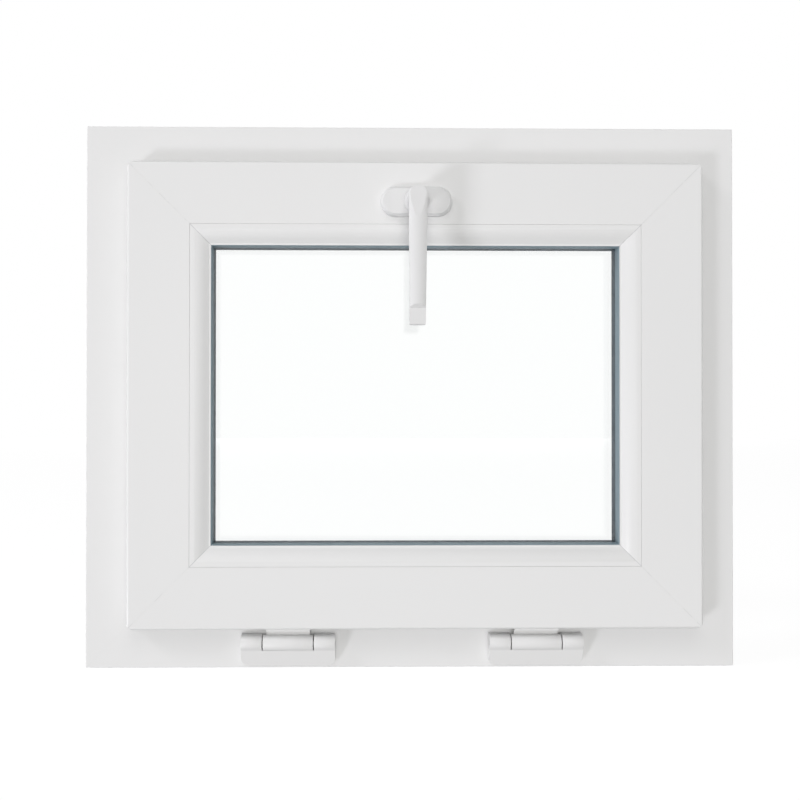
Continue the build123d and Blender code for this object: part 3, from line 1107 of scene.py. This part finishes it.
@dataclass
class Studio:
    """Pale floor, soft lamps, white surroundings and the camera of the photograph."""

    ambient: float = 0.28
    cool: Colour = (0.96, 0.955, 1.0)
    floor_size: float = 12.0
    floor_drop: float = 0.1 * MM
    floor_colour: Colour = (0.8, 0.8, 0.8)
    floor_show: float = 0.7
    floor_glow: float = 1.26
    camera_place: Place = (-0.045, -1.13, 0.25)
    yaw: float = 1.099
    pitch: float = 0.502
    roll: float = -0.036
    sensor: float = 36.0
    lens: float = 53.39
    shift: tuple[float, float] = (0.01825, -0.017)
    clip: tuple[float, float] = (0.01, 50.0)

    def build(self) -> None:
        """Makes the surroundings, the lamps and the camera."""
        self.surroundings()
        self.floor()
        for lamp in self.lamps():
            lamp.build()
        self.camera()
        bpy.context.scene.view_settings.view_transform = "Standard"

    def lamps(self) -> list[Lamp]:
        """Key and upper lamp on the left, broad fills at the side and in front, weak ones right and behind.

        Returns:
            The lamps.
        """
        return [
            Lamp("key", (-4.995, -4.995, -3.506), width=1.6, height=1.6, power=156.0, colour=self.cool),
            Lamp("upper", (-5.675, -3.277, 4.839), width=1.6, height=1.6, power=89.0, colour=self.cool),
            Lamp(
                "side", (-7.98, -0.558, 0.25), width=3.2, height=8.5, power=170.0,
                colour=(0.97, 0.965, 1.0), glossy=False,
            ),
            Lamp(
                "front", (0.0, -8.0, 0.25), width=3.2, height=3.2, power=231.0,
                colour=(1.0, 0.99, 0.97), glossy=False,
            ),
            Lamp(
                "overhead", (0.0, -5.66, 5.91), width=4.8, height=4.14, power=84.0,
                colour=(1.0, 0.995, 0.99), glossy=False,
            ),
            Lamp("right", (7.88, -1.39, 0.25), width=3.2, height=8.5, power=60.0, glossy=False),
            Lamp("back_fill", (0.0, 7.2, 0.25), width=3.0, height=3.0, power=105.0, glossy=False),
        ]

    def surroundings(self) -> None:
        """World that shows white and lights softly."""
        world = bpy.data.worlds.new("studio")
        bpy.context.scene.world = world
        graph = Graph(world)
        strength = graph.rays(BACKGROUND_RAYS) * (1 - self.ambient) + self.ambient
        back = graph.node("ShaderNodeBackground", inputs={"Color": (*WHITE, 1.0), "Strength": strength})
        graph.output(back, "ShaderNodeOutputWorld")

    def floor(self) -> None:
        """Pale floor under the window."""
        mesh = bmesh.new()
        bmesh.ops.create_grid(mesh, x_segments=2, y_segments=2, size=self.floor_size / 2)
        bmesh.ops.translate(mesh, verts=mesh.verts, vec=(0, 0, -self.floor_drop))
        data = bpy.data.meshes.new("floor")
        mesh.to_mesh(data)
        mesh.free()
        data.materials.append(self.floor_paper())
        made = bpy.data.objects.new("floor", data)
        made.visible_diffuse = False
        made.visible_shadow = False
        bpy.context.scene.collection.objects.link(made)

    def floor_paper(self) -> bpy.types.Material:
        """Paper that shows white but for the shadow on it.

        Returns:
            The material.
        """
        graph = Graph.material("floor_paper")
        paper = graph.node("ShaderNodeBsdfDiffuse", inputs={"Color": (*self.floor_colour, 1.0)})
        lit = {"Color": (*WHITE, 1.0), "Strength": self.floor_glow}
        glow = graph.node("ShaderNodeEmission", inputs=lit)
        shown = graph.blend(self.floor_show, paper, glow)
        return graph.output(graph.blend(graph.rays(BACKGROUND_RAYS), paper, shown))

    def camera(self) -> None:
        """Camera at the photograph's place."""
        data = bpy.data.cameras.new("camera")
        data.sensor_width = self.sensor
        data.lens = self.lens
        data.shift_x, data.shift_y = self.shift
        data.clip_start, data.clip_end = self.clip
        made = bpy.data.objects.new("camera", data)
        made.matrix_world = (
            Matrix.Translation(self.camera_place)
            @ Matrix.Rotation(math.radians(-self.yaw), 4, "Z")
            @ Matrix.Rotation(math.radians(90 + self.pitch), 4, "X")
            @ Matrix.Rotation(math.radians(-self.roll), 4, "Z")
        )
        bpy.context.scene.collection.objects.link(made)
        bpy.context.scene.camera = made


# Window


@dataclass
class Window:
    """The whole window: its finishes, its carried-over nodes and its new pieces."""

    frame_nodes: Sequence[str] = ("frame_head", "frame_sill", "frame_jamb_left", "frame_jamb_right")
    sash_nodes: Sequence[str] = ("sash_top_rail", "sash_bottom_rail", "sash_stile_left", "sash_stile_right")
    bead_nodes: Sequence[str] = ("bead_top", "bead_bottom", "bead_left", "bead_right")
    profile_edge: float = 0.27 * MM
    bead_edge: float = 0.15 * MM
    bead_past_seal: float = 7.0 * MM

    def build(self) -> None:
        """Builds the sub-assemblies in order."""
        frame_ring = Ring.round_nodes(*self.frame_nodes)
        sash_ring = Ring.round_nodes(*self.sash_nodes)
        bead_ring = Ring.round_nodes("glazing_seal_inner").grown(self.bead_past_seal)
        frame_weld = Weld(show=0.03, depth=0.15)
        sash_weld = Weld(show=0.45, depth=0.5, breaks=150.0)
        bead_joint = Weld(show=0.6, depth=1.0, colour=(0.40, 0.41, 0.42))
        ProfileRing("frame", self.frame_nodes, frame_ring, self.profile_edge, frame_weld).dress()
        ProfileRing("sash", self.sash_nodes, sash_ring, self.profile_edge, sash_weld).dress()
        ProfileRing("bead", self.bead_nodes, bead_ring, self.bead_edge, bead_joint).dress()
        self.handle_and_hinges()
        self.glazing()
        steel = PlatedSteel("zinc_plate").build()
        CadFinish(steel, (
            "handle_spindle", "gear_faceplate", "locking_cam_left", "locking_cam_right", "keep_left",
            "keep_right", "hinge_left_pin", "hinge_right_pin",
        ), edge=0.2 * MM).dress()
        dark = Rubber("black_seal", colour=(0.030, 0.031, 0.033), dust=(0.055, 0.055, 0.058)).build()
        pale = Rubber(
            "pale_seal", colour=(0.255, 0.345, 0.395), dust=(0.295, 0.38, 0.425), roughness=0.5
        ).build()
        WeatherSeals(frame_ring, sash_ring, bead_ring, dark, pale).build()
        GearFasteners(steel).build()

    def handle_and_hinges(self) -> None:
        """Dresses the powder-coated handle and hinge leaves."""
        coat = PowderCoat("white_powder_coat").build()
        # The hinge leaves get a lighter copy of the powder coat, painted light against the shade that the
        # barrel and sash cast on them, and a lighter toe still below the barrel.
        painted_light_leaf_coat = PowderCoat(
            "leaf_powder_coat_painted_light",
            colour=(0.765, 0.765, 0.762),
            pale=(0.79, 0.79, 0.786),
            painted_light_toe=(0.865, 0.865, 0.86),
        ).build()
        leaves = [f"hinge_{side.value}_{leaf}_leaf" for side in Side for leaf in ("frame", "sash")]
        CadFinish(coat, ("handle_lever",), edge=0.3 * MM).dress()
        CadFinish(coat, ("handle_rosette",), edge=0.9 * MM, steps=4).dress()
        CadFinish(painted_light_leaf_coat, leaves, edge=0.15 * MM, steps=2).dress()

    def glazing(self) -> None:
        """Dresses the sealed unit, its packers and the drain caps."""
        low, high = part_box("spacer_bar")
        spacer = SpacerBar("spacer_coating", front=low.y, back=high.y).build()
        glass = FloatGlass("clear_float_glass").build()
        sealant = Rubber(
            "edge_sealant", colour=(0.035, 0.037, 0.04), dust=(0.05, 0.05, 0.055), roughness=0.8
        ).build()
        packer = MouldedPlastic(
            "packer_plastic", colour=(0.10, 0.22, 0.42), mottle=(0.13, 0.26, 0.46)
        ).build()
        cap = MouldedPlastic(
            "cap_plastic", colour=(0.78, 0.79, 0.79), mottle=(0.81, 0.82, 0.82), roughness=0.4
        ).build()
        CadFinish(glass, ("pane_inner", "pane_outer"), edge=0.4 * MM, steps=2).dress()
        CadFinish(spacer, ("spacer_bar",), edge=0.3 * MM, steps=2).dress()
        CadFinish(sealant, ("edge_sealant",), edge=0.0).dress()
        CadFinish(packer, ("setting_blocks",), edge=0.5 * MM).dress()
        CadFinish(cap, ("drain_cap_left", "drain_cap_right"), edge=0.4 * MM).dress()


def main() -> None:
    """Builds the window and its studio."""
    logging.basicConfig(level=logging.INFO, format="%(message)s", stream=sys.stdout)
    Window().build()
    Studio().build()


if __name__ == "__main__":
    main()
